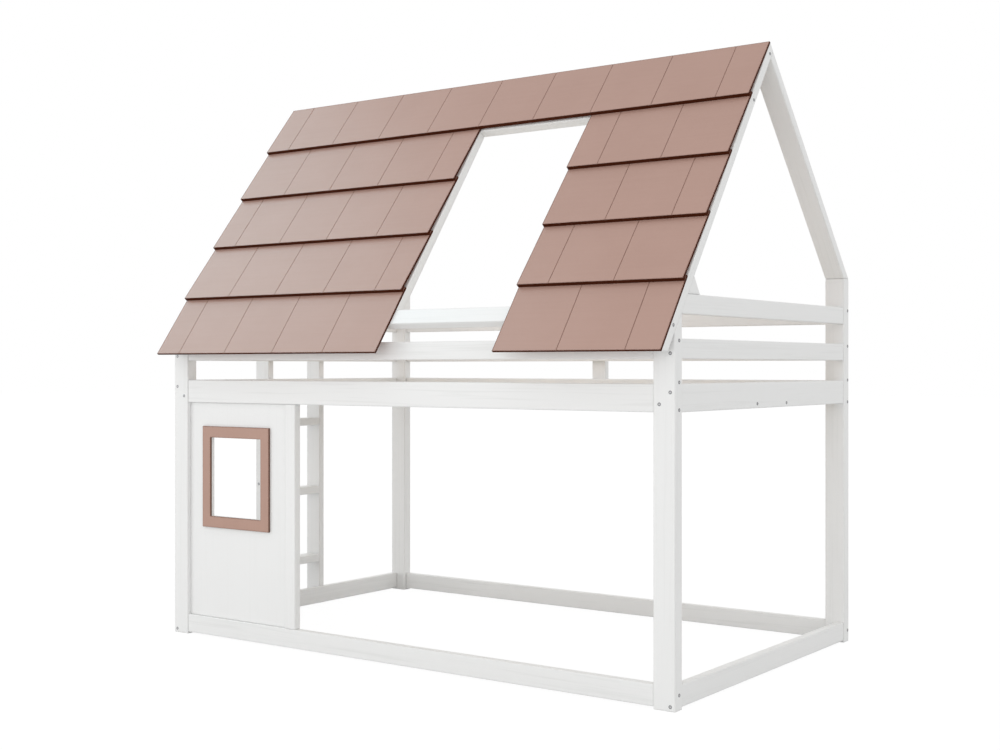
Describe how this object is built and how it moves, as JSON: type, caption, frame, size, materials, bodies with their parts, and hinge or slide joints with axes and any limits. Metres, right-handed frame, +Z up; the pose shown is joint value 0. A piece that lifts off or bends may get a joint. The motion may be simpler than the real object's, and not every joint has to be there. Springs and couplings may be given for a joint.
{
  "type": "house bunk bed",
  "caption": "Low house-frame bunk bed with a lapped board roof on its front slope, an open roof bay, a wall panel with a window and a ladder at one end.",
  "frame": {"origin": "on the floor under the centre of the bounding box", "axes": "+X along the bed away from the ladder, -Y towards the front with the wall panel and the roof, +Z up"},
  "size_m": [2.1382, 1.3798, 1.9968],
  "materials": {
    "white_paint": "matt white paint on planed softwood",
    "rose_stain": "matt rose-brown stain with dark brown edges",
    "raw_pine": "planed bare pine"
  },
  "bodies": {
    "root": {"back_brace": "white_paint", "bottom_rail_back": "white_paint", "bottom_rail_front": "white_paint", "bottom_rail_left": "white_paint", "bottom_rail_right": "white_paint", "corner_block_left": "white_paint", "corner_block_right": "white_paint", "eaves_lath": "white_paint", "ladder_rung_1": "white_paint", "ladder_rung_2": "white_paint", "ladder_rung_3": "white_paint", "ladder_stile_far": "white_paint", "ladder_stile_near": "white_paint", "ledger_back": "raw_pine", "ledger_front": "raw_pine", "ledger_left": "raw_pine", "ledger_right": "raw_pine", "main_rail_back": "white_paint", "main_rail_front": "white_paint", "main_rail_left": "white_paint", "main_rail_right": "white_paint", "mid_rail_back": "white_paint", "mid_rail_front": "white_paint", "mid_rail_left": "white_paint", "mid_rail_right": "white_paint", "panel_stile": "white_paint", "post_back_left": "white_paint", "post_back_right": "white_paint", "post_front_left": "white_paint", "post_front_right": "white_paint", "purlin": "white_paint", "rafter_back_left": "white_paint", "rafter_back_right": "white_paint", "rafter_bay_left": "white_paint", "rafter_bay_right": "white_paint", "rafter_front_left": "white_paint", "rafter_front_right": "white_paint", "ridge_lath": "white_paint", "roof_course_1": "rose_stain", "roof_course_2_left": "rose_stain", "roof_course_2_right": "rose_stain", "roof_course_3_left": "rose_stain", "roof_course_3_right": "rose_stain", "roof_course_4_left": "rose_stain", "roof_course_4_right": "rose_stain", "roof_course_5_left": "rose_stain", "roof_course_5_right": "rose_stain", "slat_deck": "raw_pine", "top_rail_back": "white_paint", "top_rail_left_back": "white_paint", "top_rail_left_front": "white_paint", "top_rail_right": "white_paint", "wall_panel": "white_paint", "window_frame": "rose_stain"}
  },
  "joints": []
}
